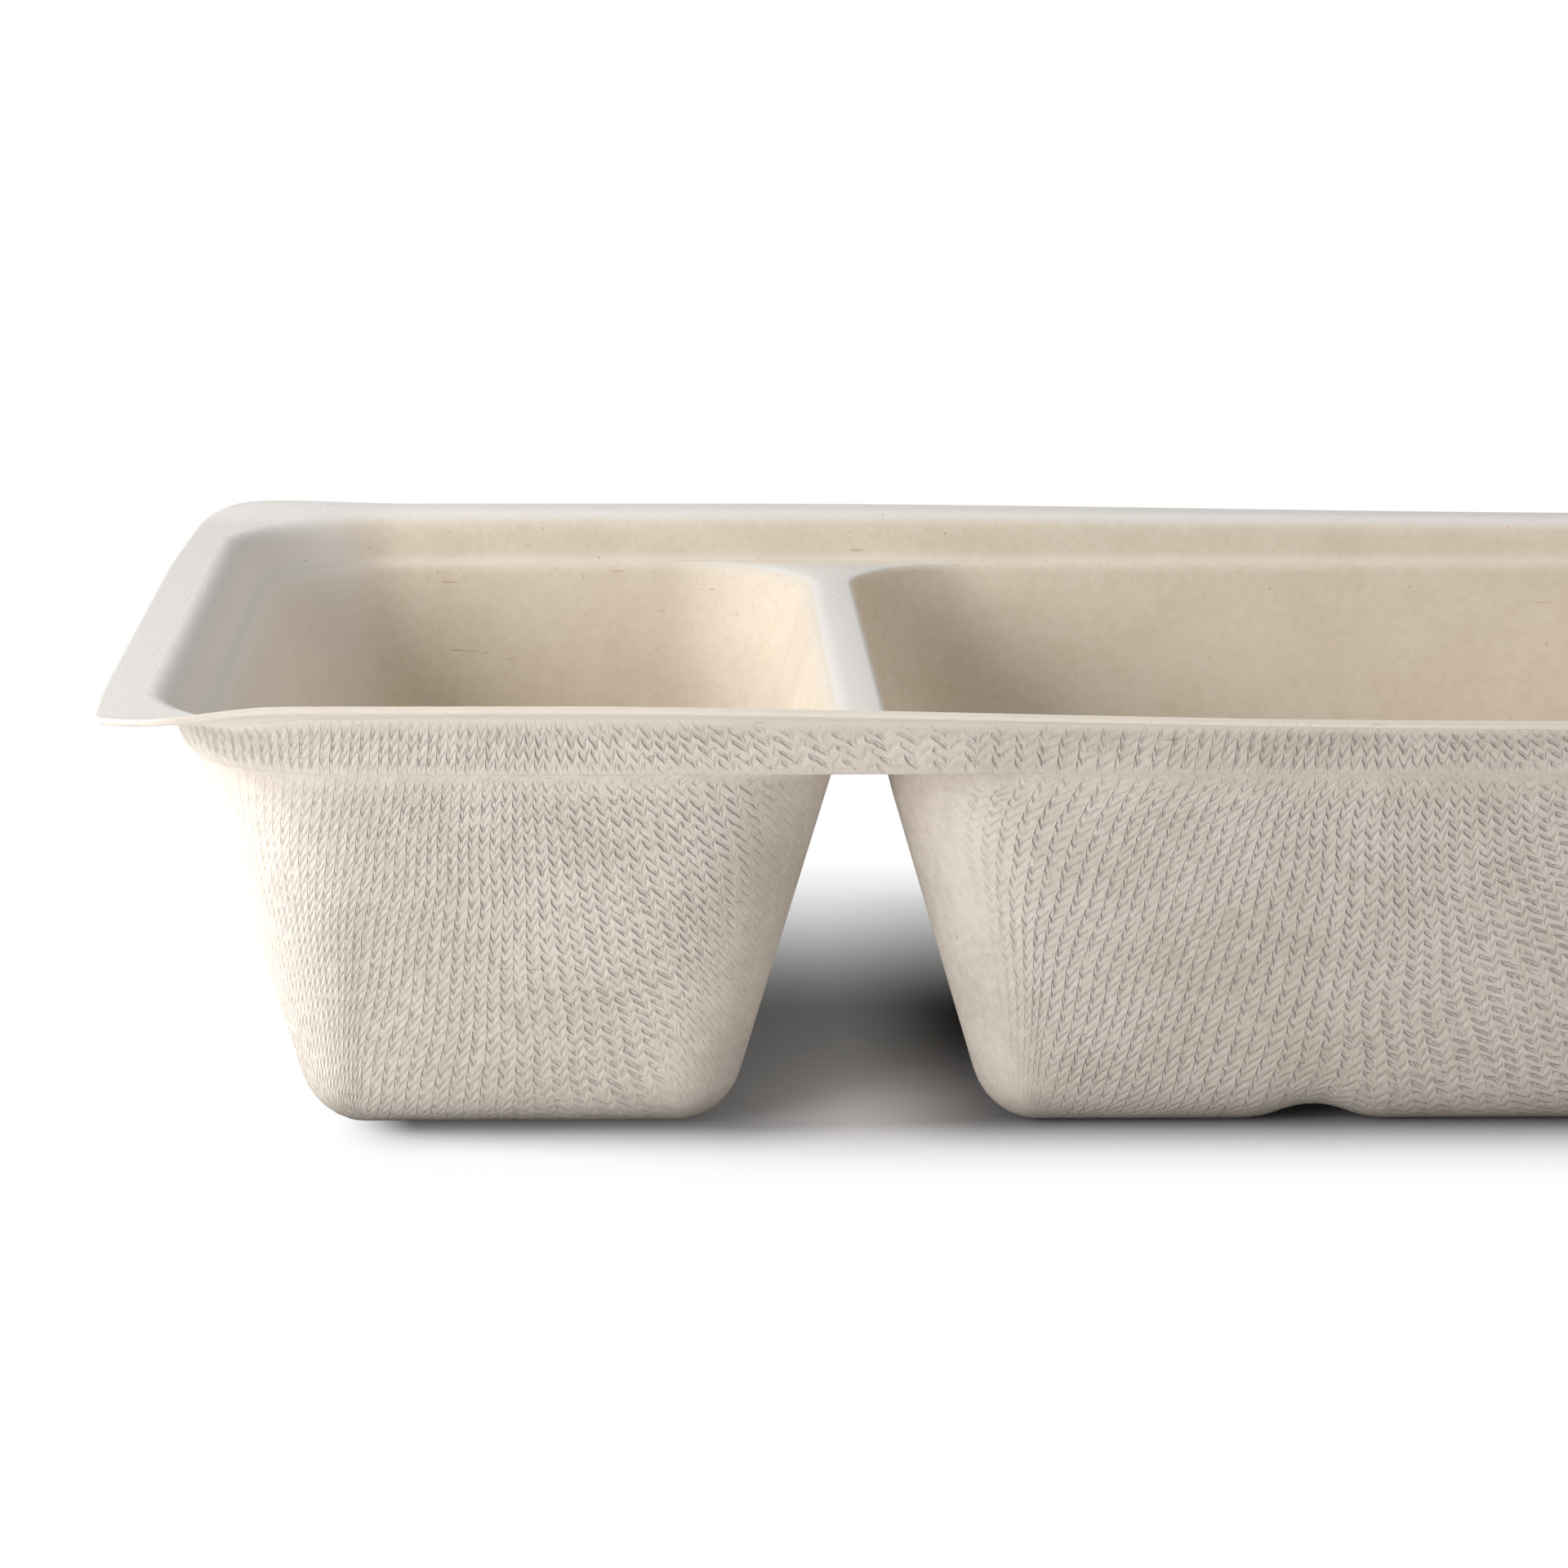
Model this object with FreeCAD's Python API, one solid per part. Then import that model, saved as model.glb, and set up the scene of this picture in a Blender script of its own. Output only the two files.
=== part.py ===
"""Two-compartment chip tray moulded from bagasse fibre, as one shell of even wall.

Frame: millimetres, +Z up, origin on the table plane at the middle of the tray's length and depth.
X runs along the length with the small compartment on the -X side, and -Y is the front.
"""

import FreeCAD, Part

import math
import os

Vector = FreeCAD.Vector

# Overall size
LENGTH = 200.0              # end to end over the flange
DEPTH = 150.0               # front to back over the flange
RIM_LEVEL = 45.0            # table to the top of the end flanges
WALL = 0.7                  # fibre wall, the same everywhere

# Flange round the top
END_FLANGE = 7.1            # width at the two short ends
SIDE_FLANGE = 5.4           # width along the front and the back
RIM_CORNER = 10.0           # plan radius of the outer corners
FLANGE_RADIUS = 3.0         # rounding from the flange down into the step
FLANGE_TILT = 20.0          # degrees that the front and back flanges turn up
FOLD_INSET = 4.0            # the turn-up starts this far inside the side flanges
FOLD_RADIUS = 13.0          # gentle bend where the turn-up starts

# Step and ledge inside the flange
STEP_DEPTH = 4.8            # end flange down to the ledge
LEDGE_WIDTH = 1.4           # flat shelf round both compartments
LEDGE_RADIUS = 0.9          # rounding at the root and at the edge of the ledge

# Compartments
DRAFT = 16.5                # degrees that every wall leans from upright
CUP_CORNER = 16.0           # plan radius of the compartment corners at the ledge
BASE_RADIUS = 7.5           # outside rounding from wall to base
DIVIDER_PLACE = -23.5       # middle of the divider along X
DIVIDER_LAND = 5.0          # width of the flat top of the divider

# Stiffening rib across the base of the large compartment
RIB_PLACE = 23.5            # middle of the rib along X
RIB_WIDTH = 15.2
RIB_HEIGHT = 2.0

# How far the working solids reach past the faces that trim them
OVERRUN = 6.0

# Worked out from the sizes above
LEAN = math.tan(math.radians(DRAFT))
SKIN_RUN = 1.0 / math.cos(math.radians(DRAFT))      # level width of a wall, per mm of thickness
LEDGE_LEVEL = RIM_LEVEL - STEP_DEPTH
STEP_HALF_X = LENGTH / 2 - END_FLANGE - STEP_DEPTH * LEAN
STEP_HALF_Y = DEPTH / 2 - SIDE_FLANGE - STEP_DEPTH * LEAN
CUP_HALF_Y = STEP_HALF_Y - LEDGE_WIDTH
CUP_END_X = STEP_HALF_X - LEDGE_WIDTH
SMALL_CUP = (-CUP_END_X, DIVIDER_PLACE - DIVIDER_LAND / 2)
LARGE_CUP = (DIVIDER_PLACE + DIVIDER_LAND / 2, CUP_END_X)
NEAR = 1e-4                 # tolerance for finding edges at a level


def prism(outline, along):
    """Solid made by moving a closed list of edges along a vector."""
    loop = Part.Wire(Part.sortEdges(outline)[0])
    return Part.Face(loop).extrude(along)


def polygon(points):
    """Edges of a closed polygon."""
    closed = points + points[:1]
    return [Part.LineSegment(a, b).toShape() for a, b in zip(closed, closed[1:])]


def drafted_block(middle_x, half_x, half_y, radius, level, low, high):
    """Block with leaning walls and round corners; its plan sizes are those at the given level."""
    grow_low = LEAN * (low - level)
    grow_high = LEAN * (high - level)
    core_x = half_x - radius
    core_y = half_y - radius
    height = high - low
    lengthways = prism(polygon([
        Vector(middle_x - half_x - grow_low, -core_y, low),
        Vector(middle_x + half_x + grow_low, -core_y, low),
        Vector(middle_x + half_x + grow_high, -core_y, high),
        Vector(middle_x - half_x - grow_high, -core_y, high),
    ]), Vector(0, 2 * core_y, 0))
    crossways = prism(polygon([
        Vector(middle_x - core_x, -half_y - grow_low, low),
        Vector(middle_x - core_x, half_y + grow_low, low),
        Vector(middle_x - core_x, half_y + grow_high, high),
        Vector(middle_x - core_x, -half_y - grow_high, high),
    ]), Vector(2 * core_x, 0, 0))
    corners = [
        Part.makeCone(radius + grow_low, radius + grow_high, height,
                      Vector(middle_x + side_x * core_x, side_y * core_y, low))
        for side_x in (-1, 1) for side_y in (-1, 1)
    ]
    return lengthways.fuse([crossways] + corners).removeSplitter()


def edges_at(shape, level):
    """Edges that lie wholly at one height."""
    return [edge for edge in shape.Edges
            if abs(edge.BoundBox.ZMin - level) < NEAR and abs(edge.BoundBox.ZMax - level) < NEAR]


def cup(ends, skin):
    """Space of one compartment, with its walls moved outwards by the skin."""
    middle = (ends[0] + ends[1]) / 2
    half = (ends[1] - ends[0]) / 2
    grow = skin * SKIN_RUN
    floor = WALL - skin
    block = drafted_block(middle, half + grow, CUP_HALF_Y + grow, CUP_CORNER + grow,
                          LEDGE_LEVEL, floor, LEDGE_LEVEL - skin + LEDGE_WIDTH)
    return block.makeFillet(BASE_RADIUS - WALL + skin, edges_at(block, floor))


def rib(skin):
    """Bell-shaped bar that lifts the base of the large compartment, run from front to back.

    Its section is one arc over the crown and one at each foot, all of the same radius on the
    underside of the base and all tangent to each other.
    """
    half = RIB_WIDTH / 2
    lift = WALL - skin
    bend = (half ** 2 + RIB_HEIGHT ** 2) / (4 * RIB_HEIGHT)
    turn = math.asin(half / 2 / bend)
    crown = bend + lift
    foot = bend - lift

    def at(x, z):
        return Vector(RIB_PLACE + x, -DEPTH / 2, z)

    def foot_arc(side):
        points = [at(side * (half - foot * math.sin(angle)), bend - foot * math.cos(angle))
                  for angle in (0, turn / 2, turn)]
        return Part.Arc(*points).toShape()

    def crown_arc():
        points = [at(crown * math.sin(angle), RIB_HEIGHT - bend + crown * math.cos(angle))
                  for angle in (-turn, 0, turn)]
        return Part.Arc(*points).toShape()

    below = [at(-half, lift), at(-half, -OVERRUN), at(half, -OVERRUN), at(half, lift)]
    sides = [Part.LineSegment(a, b).toShape() for a, b in zip(below, below[1:])]
    return prism([foot_arc(-1), crown_arc(), foot_arc(1)] + sides, Vector(0, DEPTH, 0))


def above_flange(skin):
    """Everything above the flange: level over the ends, turned up along the front and the back."""
    tilt = math.radians(FLANGE_TILT)
    fold = DEPTH / 2 - SIDE_FLANGE - FOLD_INSET
    bend = FOLD_RADIUS + skin
    middle_z = RIM_LEVEL + FOLD_RADIUS
    far = DEPTH / 2 + OVERRUN
    start = -LENGTH / 2 - OVERRUN
    top = RIM_LEVEL + 2 * OVERRUN

    def at(y, z):
        return Vector(start, y, z)

    def bend_arc(side):
        points = [at(side * (fold + bend * math.sin(angle)), middle_z - bend * math.cos(angle))
                  for angle in (0, tilt / 2, tilt)]
        return points, Part.Arc(*points).toShape()

    def turned_up(side, tangent):
        return at(side * far, tangent.z + (far - abs(tangent.y)) * math.tan(tilt))

    front_points, front_arc = bend_arc(-1)
    back_points, back_arc = bend_arc(1)
    front_end = turned_up(-1, front_points[-1])
    back_end = turned_up(1, back_points[-1])
    outline = [
        front_arc,
        Part.LineSegment(front_points[0], back_points[0]).toShape(),
        back_arc,
        Part.LineSegment(back_points[-1], back_end).toShape(),
        Part.LineSegment(back_end, at(far, top)).toShape(),
        Part.LineSegment(at(far, top), at(-far, top)).toShape(),
        Part.LineSegment(at(-far, top), front_end).toShape(),
        Part.LineSegment(front_end, front_points[-1]).toShape(),
    ]
    return prism(outline, Vector(LENGTH + 2 * OVERRUN, 0, 0))


def flange_root_edges(shape, skin):
    """Edges where the step wall runs up into the flange."""
    low = LEDGE_LEVEL - skin + LEDGE_RADIUS
    half_x = LENGTH / 2
    half_y = DEPTH / 2
    return [edge for edge in shape.Edges
            if edge.BoundBox.ZMin > low
            and edge.BoundBox.XMax < half_x and edge.BoundBox.XMin > -half_x
            and edge.BoundBox.YMax < half_y and edge.BoundBox.YMin > -half_y]


def step_space(skin):
    """Space inside the step, down to the ledge, with the root of the step rounded."""
    grow = skin * SKIN_RUN
    floor = LEDGE_LEVEL - skin
    block = drafted_block(0, STEP_HALF_X + grow, STEP_HALF_Y + grow, CUP_CORNER + LEDGE_WIDTH + grow,
                          LEDGE_LEVEL, floor, RIM_LEVEL + OVERRUN)
    return block.makeFillet(LEDGE_RADIUS + skin, edges_at(block, floor))


def lip_edges(shape, level):
    """Edges where the ledge and the divider turn down into the compartments."""
    return [edge for edge in edges_at(shape, level)
            if any(face.BoundBox.ZMin < level - LEDGE_WIDTH
                   for face in shape.ancestorsOfType(edge, Part.Face))]


def hollow(skin):
    """All the space over the tray, with every face moved outwards by the skin."""
    large_cup = cup(LARGE_CUP, skin).cut(rib(skin))
    whole = step_space(skin).fuse([cup(SMALL_CUP, skin), large_cup, above_flange(skin)])
    whole = whole.removeSplitter()
    whole = whole.makeFillet(FLANGE_RADIUS - skin, flange_root_edges(whole, skin))
    return whole.makeFillet(LEDGE_RADIUS - skin, lip_edges(whole, LEDGE_LEVEL - skin))


def rim_outline():
    """Upright block with round corners that trims the flange to its outline."""
    block = Part.makeBox(LENGTH, DEPTH, RIM_LEVEL + 2 * OVERRUN,
                         Vector(-LENGTH / 2, -DEPTH / 2, -OVERRUN))
    upright = [edge for edge in block.Edges
               if max(edge.BoundBox.XLength, edge.BoundBox.YLength) < NEAR]
    return block.makeFillet(RIM_CORNER, upright)


def tray():
    """The moulded shell: one wall between two nested faces, trimmed to its outline."""
    shell = hollow(WALL).cut(hollow(0))
    return shell.common(rim_outline()).removeSplitter()


if __name__ == "__main__":
    os.makedirs("parts", exist_ok=True)
    tray().exportStep("parts/tray.step")
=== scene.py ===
"""Chip tray with two compartments, moulded from bagasse fibre, on a plain white floor.

The tray is one sheet of even wall. The sheet is grown ring by ring from the rim inwards and is then
given its thickness. Sizes are in millimetres in the tray's own frame and become metres in the mesh.
"""

import logging
import math
from collections.abc import Callable, Sequence
from dataclasses import dataclass, field
from enum import Enum
from functools import partial

import bmesh
import bpy
from mathutils import Matrix, Vector


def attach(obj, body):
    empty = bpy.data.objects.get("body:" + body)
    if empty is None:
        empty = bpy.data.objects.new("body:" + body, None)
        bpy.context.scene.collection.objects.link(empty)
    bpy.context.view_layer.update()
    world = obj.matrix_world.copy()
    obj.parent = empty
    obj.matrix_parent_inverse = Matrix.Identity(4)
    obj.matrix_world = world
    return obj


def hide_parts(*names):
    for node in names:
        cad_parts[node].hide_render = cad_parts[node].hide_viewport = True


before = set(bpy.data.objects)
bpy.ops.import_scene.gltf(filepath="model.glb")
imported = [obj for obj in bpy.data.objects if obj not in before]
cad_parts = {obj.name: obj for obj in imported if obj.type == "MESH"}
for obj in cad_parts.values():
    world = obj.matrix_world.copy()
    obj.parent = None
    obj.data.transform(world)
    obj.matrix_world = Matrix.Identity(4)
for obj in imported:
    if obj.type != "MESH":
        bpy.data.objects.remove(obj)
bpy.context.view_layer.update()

logging.basicConfig(level=logging.INFO, format="%(message)s")
log = logging.getLogger("tray")

MM: float = 0.001
LEAST_RADIUS: float = 0.2       # what is left of a corner that was moved inwards too far
RUN_OUT: float = 0.02           # short straight length beyond a rounding
TOUCHING: float = 1e-4          # points nearer than this are one

Colour = tuple[float, float, float]
Place = tuple[float, float, float]
Zone = tuple[float, float]      # where a change starts and where it ends


class Side(Enum):
    """Which face of the sheet a finish is for; the value is its place among the materials."""

    INSIDE = 0
    OUTSIDE = 1
    CUT_EDGE = 2


def smooth(low: float, high: float, value: float, at_low: float = 0.0,
           at_high: float = 1.0) -> float:
    """Eases from one number to another as a value rises.

    Args:
        low: Where the change starts.
        high: Where the change ends.
        value: The value that rises.
        at_low: The number below low.
        at_high: The number above high.

    Returns:
        The number at the value, on an S-shaped curve between the two.
    """
    share = min(1.0, max(0.0, (value - low) / (high - low)))
    return at_low + (at_high - at_low) * share * share * (3.0 - 2.0 * share)


def mesh_data(name: str, mesh: bmesh.types.BMesh) -> bpy.types.Mesh:
    """Turns a finished bmesh into mesh data and frees it.

    Args:
        name: The name of the data.
        mesh: The bmesh.

    Returns:
        The mesh data.
    """
    data = bpy.data.meshes.new(name)
    mesh.to_mesh(data)
    mesh.free()
    return data


def placed(name: str, data: bpy.types.ID) -> bpy.types.Object:
    """Makes an object and adds it to the scene.

    Args:
        name: The name of the object.
        data: The mesh, lamp or camera that it shows.

    Returns:
        The object.
    """
    made = bpy.data.objects.new(name, data)
    bpy.context.scene.collection.objects.link(made)
    return made


@dataclass(frozen=True)
class Steps:
    """How many edges a ring has on each straight side and round each corner."""

    corner: int = 14
    along: int = 72
    across: int = 48

    @property
    def total(self) -> int:
        """Number of points in a ring."""
        return 4 * self.corner + 2 * self.along + 2 * self.across

    @property
    def left(self) -> int:
        """Place in a ring of the first point of the -X side."""
        return self.along // 2 + self.corner

    @property
    def front(self) -> int:
        """Place in a ring of the first point of the front side."""
        return self.left + self.across + self.corner


@dataclass(frozen=True)
class Outline:
    """A rectangle with round corners, seen from above."""

    middle_x: float
    half_x: float
    half_y: float
    radius: float

    def shrunk(self, inset: float) -> "Outline":
        """Returns the outline moved inwards by the inset."""
        return Outline(self.middle_x, self.half_x - inset, self.half_y - inset,
                       max(self.radius - inset, LEAST_RADIUS))

    def blended(self, other: "Outline", share: float) -> "Outline":
        """Finds the outline that lies part of the way to another one.

        Args:
            other: The other outline.
            share: The part of the way, from 0 to 1.

        Returns:
            The outline between the two.
        """
        def mix(a: float, b: float) -> float:
            """Returns the value between a and b."""
            return a + (b - a) * share
        return Outline(mix(self.middle_x, other.middle_x), mix(self.half_x, other.half_x),
                       mix(self.half_y, other.half_y), mix(self.radius, other.radius))

    def points(self, steps: Steps) -> list[Vector]:
        """Lays the points of a ring on the outline.

        Args:
            steps: The number of edges on each side and corner.

        Returns:
            The points in order from the middle of the back, by way of the -X end and the front.
        """
        core_x = self.half_x - self.radius
        core_y = self.half_y - self.radius
        found: list[Vector] = []

        def straight(start: Vector, end: Vector, count: int) -> None:
            """Adds the points of a straight run without its end point."""
            found.extend(start.lerp(end, i / count) for i in range(count))

        def corner(side_x: int, side_y: int, first: float) -> None:
            """Adds the points of a corner.

            Args:
                side_x: 1 for the +X end, -1 for the -X end.
                side_y: 1 for the back, -1 for the front.
                first: The angle at which the corner's quarter turn starts.
            """
            for i in range(steps.corner):
                angle = first + math.pi / 2 * i / steps.corner
                found.append(Vector((side_x * core_x + self.radius * math.cos(angle),
                                     side_y * core_y + self.radius * math.sin(angle))))

        half_count = steps.along // 2
        straight(Vector((0, self.half_y)), Vector((-core_x, self.half_y)), half_count)
        corner(-1, 1, math.pi / 2)
        straight(Vector((-self.half_x, core_y)), Vector((-self.half_x, -core_y)), steps.across)
        corner(-1, -1, math.pi)
        straight(Vector((-core_x, -self.half_y)), Vector((core_x, -self.half_y)), steps.along)
        corner(1, -1, math.pi * 1.5)
        straight(Vector((self.half_x, -core_y)), Vector((self.half_x, core_y)), steps.across)
        corner(1, 1, 0.0)
        straight(Vector((core_x, self.half_y)), Vector((0, self.half_y)), half_count)
        return [point + Vector((self.middle_x, 0)) for point in found]


@dataclass(frozen=True)
class Station:
    """One point of a section through the wall: how far in from the reference outline, how high."""

    inset: float
    level: float


def rounded_section(corners: Sequence[tuple[float, float, float]], pieces: Sequence[int],
                    arc_steps: int) -> list[Station]:
    """Rounds the corners of a section and cuts it into short lengths.

    Args:
        corners: Inset, level and rounding radius of each corner; the ends have no rounding.
        pieces: Pieces in each straight run.
        arc_steps: Pieces in each rounding.

    Returns:
        The stations in order.
    """
    found = [Vector(corners[0][:2])]
    counts = iter(pieces)

    def run_to(target: Vector) -> None:
        """Adds a straight run in short lengths."""
        start = found[-1].copy()
        count = next(counts)
        found.extend(start.lerp(target, i / count) for i in range(1, count + 1))

    for before, here, after in zip(corners, corners[1:], corners[2:]):
        corner = Vector(here[:2])
        back = (Vector(before[:2]) - corner).normalized()
        ahead = (Vector(after[:2]) - corner).normalized()
        half_open = back.angle(ahead) / 2
        reach = here[2] / math.tan(half_open)
        centre = corner + (back + ahead).normalized() * here[2] / math.sin(half_open)
        run_to(corner + back * reach)
        first = corner + back * reach - centre
        last = corner + ahead * reach - centre
        turn = first.angle_signed(last)
        for i in range(1, arc_steps + 1):
            spoke = first.copy()
            spoke.rotate(Matrix.Rotation(-turn * i / arc_steps, 2))
            found.append(centre + spoke)
    run_to(Vector(corners[-1][:2]))
    return [Station(point.x, point.y) for point in found]


@dataclass
class Sheet:
    """A sheet that grows ring by ring and keeps what the finishes need at its points."""

    steps: Steps
    mesh: bmesh.types.BMesh = field(default_factory=bmesh.new)

    def __post_init__(self) -> None:
        """Makes the layers: lengths along and down, imprint, painted light on upward faces and end
        walls.
        """
        layers = self.mesh.verts.layers.float
        self.along, self.down, self.imprint, self.upper, self.end = (
            layers.new(name) for name in ("along", "down", "imprint", "upper", "end"))

    def first_ring(self, outline: Outline, level: float) -> list[bmesh.types.BMVert]:
        """Starts the sheet, or a new part of it, with a ring.

        Args:
            outline: Where the ring lies.
            level: How high it lies.

        Returns:
            The ring.
        """
        made = bmesh.ops.create_circle(self.mesh, segments=self.steps.total, radius=1.0)
        ring: list[bmesh.types.BMVert] = made["verts"]
        self.place(ring, outline, level)
        return ring

    def next_ring(self, ring: list[bmesh.types.BMVert], outline: Outline,
                  level: float) -> list[bmesh.types.BMVert]:
        """Grows the sheet by one ring.

        Args:
            ring: The ring to grow from.
            outline: Where the new ring lies.
            level: How high it lies.

        Returns:
            The new ring, in the order of the old one.
        """
        edges = ring_edges(self.mesh, ring)
        made = bmesh.ops.extrude_edge_only(self.mesh, edges=edges)["geom"]
        fresh = {item for item in made if isinstance(item, bmesh.types.BMVert)}
        grown = [next(edge.other_vert(old) for edge in old.link_edges
                      if edge.other_vert(old) in fresh) for old in ring]
        self.place(grown, outline, level)
        return grown

    def place(self, ring: list[bmesh.types.BMVert], outline: Outline, level: float) -> None:
        """Moves a ring onto an outline at a level."""
        for vert, point in zip(ring, outline.points(self.steps)):
            vert.co = Vector((point.x, point.y, level))

    def mark(self, ring: list[bmesh.types.BMVert], reference: Outline, down: float,
             imprint: Callable[[Vector], float]) -> None:
        """Keeps the lengths and the strength of the imprint at the points of a ring.

        The imprint fades out at the first point, where its pattern starts and ends.

        Args:
            ring: The ring.
            reference: The outline on which lengths along the wall are measured.
            down: The length down the wall.
            imprint: Gives the strength of the imprint at a place.
        """
        points = reference.points(self.steps)
        length = 0.0
        lengths = [length]
        for a, b in zip(points, points[1:]):
            length += (b - a).length
            lengths.append(length)
        front = self.steps.front
        zero = lengths[front] - points[front].x
        for vert, value in zip(ring, lengths):
            vert[self.along] = value - zero
            vert[self.down] = down
            vert[self.imprint] = imprint(vert.co)
        ring[0][self.imprint] = 0.0


def ring_edges(mesh: bmesh.types.BMesh,
               ring: Sequence[bmesh.types.BMVert]) -> list[bmesh.types.BMEdge]:
    """Finds the edges that join the points of a ring.

    Args:
        mesh: The mesh that holds the ring.
        ring: The points in order.

    Returns:
        The edges in order.
    """
    found = [mesh.edges.get((a, b)) for a, b in zip(ring, [*ring[1:], ring[0]])]
    return [edge for edge in found if edge is not None]


@dataclass(frozen=True)
class Rim:
    """The flange round the top, the step inside it and the ledge.

    The line of the step wall lies step_top further in at the flange and step_foot further in at
    the ledge than the draft alone would put it. The ledge falls inwards by twice ledge_drop.
    """

    length: float = 200.0
    depth: float = 150.0
    level: float = 45.0
    end_flange: float = 7.1
    side_flange: float = 5.4
    corner: float = 10.0
    flange_radius: float = 3.6
    step_depth: float = 5.05
    ledge_width: float = 1.4
    ledge_drop: float = 0.56
    root_radius: float = 2.6
    step_top: float = -0.1
    step_foot: float = 0.3
    draft: float = 16.5
    tilt: float = 20.0
    fold_inset: float = 4.0
    fold_radius: float = 13.0
    flange_rings: tuple[float, ...] = (0.06, 0.2, 0.4, 0.6, 0.8)
    step_pieces: int = 5
    arc_pieces: int = 9

    @property
    def lean(self) -> float:
        """Level run of a wall for each millimetre of its height."""
        return math.tan(math.radians(self.draft))

    @property
    def ledge_level(self) -> float:
        """Height of the ledge."""
        return self.level - self.step_depth

    @property
    def step_end(self) -> float:
        """How far inside the root outline the step wall would reach the ledge's level."""
        return self.step_depth * self.lean + self.step_foot

    def ledge_line(self) -> tuple[Vector, Vector]:
        """Finds where the sloping ledge starts and ends.

        Returns:
            Both places, each as its inset from the root outline and its level.
        """
        share = 1 - self.ledge_drop / self.step_depth
        start = Vector((self.step_top + (self.step_end - self.step_top) * share,
                        self.ledge_level + self.ledge_drop))
        run = self.step_depth * self.lean + self.ledge_width
        end = Vector((run + self.ledge_drop * self.lean, self.ledge_level - self.ledge_drop))
        return start, end

    def edge_outline(self, wall: float) -> Outline:
        """Returns the outline of the cut edge, drawn in where the turned-up flange leans out."""
        leaning = wall * math.sin(math.radians(self.tilt))
        return Outline(0.0, self.length / 2, self.depth / 2 - leaning, self.corner)

    def root_outline(self, cup_corner: float) -> Outline:
        """Finds the outline where the step wall would meet the flange without rounding.

        Args:
            cup_corner: The plan radius of the compartments' corners at the ledge.

        Returns:
            The outline.
        """
        run = self.step_depth * self.lean
        return Outline(0.0, self.length / 2 - self.end_flange, self.depth / 2 - self.side_flange,
                       cup_corner + self.ledge_width + run)

    def ledge_outline(self, cup_corner: float) -> Outline:
        """Returns the outline where the step wall would meet the ledge without rounding."""
        return self.root_outline(cup_corner).shrunk(self.step_depth * self.lean)

    def turned_up(self, y: float) -> float:
        """Finds how far the fold lifts the flange.

        Args:
            y: The place across the tray.

        Returns:
            The lift.
        """
        tilt = math.radians(self.tilt)
        reach = abs(y) - (self.depth / 2 - self.side_flange - self.fold_inset)
        if reach <= 0:
            return 0.0
        bend = self.fold_radius * math.sin(tilt)
        if reach < bend:
            return self.fold_radius - math.sqrt(self.fold_radius ** 2 - reach ** 2)
        return self.fold_radius * (1 - math.cos(tilt)) + (reach - bend) * math.tan(tilt)


@dataclass(frozen=True)
class Cup:
    """One compartment, from the rounded lip at the ledge down to its base.

    Beside the divider the lip has a radius of its own, and lip_reach makes the divider wider there.
    """

    low_x: float
    high_x: float
    half_y: float
    corner: float
    lip_radius: float = 2.4
    divider_lip_radius: float = 1.2
    lip_reach: float = 0.0
    lip_reach_zone: Zone = (-5.5, 0.0)
    base_radius: float = 6.8
    divider_zone: Zone = (0.5, 2.0)
    wall_pieces: int = 15
    arc_pieces: int = 7

    @property
    def divider_sign(self) -> int:
        """1 where the divider stands on the +X side of the compartment, else -1."""
        return 1 if self.low_x + self.high_x < 0 else -1

    def outline(self, inset: float, divider_inset: float) -> Outline:
        """Finds the outline of the wall, moved inwards.

        Args:
            inset: How far the outline lies inside the one where the wall would meet the ledge.
            divider_inset: The same on the side of the divider.

        Returns:
            The outline.
        """
        low, high = ((inset, divider_inset) if self.divider_sign > 0
                     else (divider_inset, inset))
        left, right = self.low_x + low, self.high_x - high
        return Outline((left + right) / 2, (right - left) / 2, self.half_y - inset,
                       max(self.corner - inset, LEAST_RADIUS))

    def section(self, rim: Rim, floor: float, at_divider: bool) -> list[Station]:
        """Finds the section of the wall from the lip to the floor.

        Args:
            rim: The rim that the compartment hangs in.
            floor: The level of the floor.
            at_divider: Whether the lip is at the flat divider or at the sloping ledge.

        Returns:
            The stations, from the ledge down.
        """
        run = (rim.ledge_level - floor) * rim.lean
        if at_divider:
            start = Vector((-rim.ledge_width, rim.ledge_level))
            lip, radius = Vector((0.0, rim.ledge_level)), self.divider_lip_radius
        else:
            out = Vector((rim.step_depth * rim.lean + rim.ledge_width, 0.0))
            start, lip = (point - out for point in rim.ledge_line())
            radius = self.lip_radius
        return rounded_section([
            (start.x, start.y, 0.0),
            (lip.x, lip.y, radius),
            (run, floor, self.base_radius),
            (run + self.base_radius, floor, 0.0),
        ], pieces=(1, self.wall_pieces, 1), arc_steps=self.arc_pieces)[1:]

    def from_divider(self, x: float, inset: float) -> float:
        """Returns how far a place lies from the wall at the divider."""
        face = (self.high_x - inset) if self.divider_sign > 0 else (self.low_x + inset)
        return (face - x) * self.divider_sign

    def beside_divider(self, x: float, inset: float) -> float:
        """Finds how much a place belongs to the wall at the divider.

        Args:
            x: The place along the tray.
            inset: How far the ring of the place lies inside the outline of the ledge.

        Returns:
            1 on the wall at the divider, 0 beyond the corners next to it.
        """
        start, past_corner = self.divider_zone
        return smooth(start, self.corner - inset + past_corner, self.from_divider(x, inset),
                      1.0, 0.0)


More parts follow.
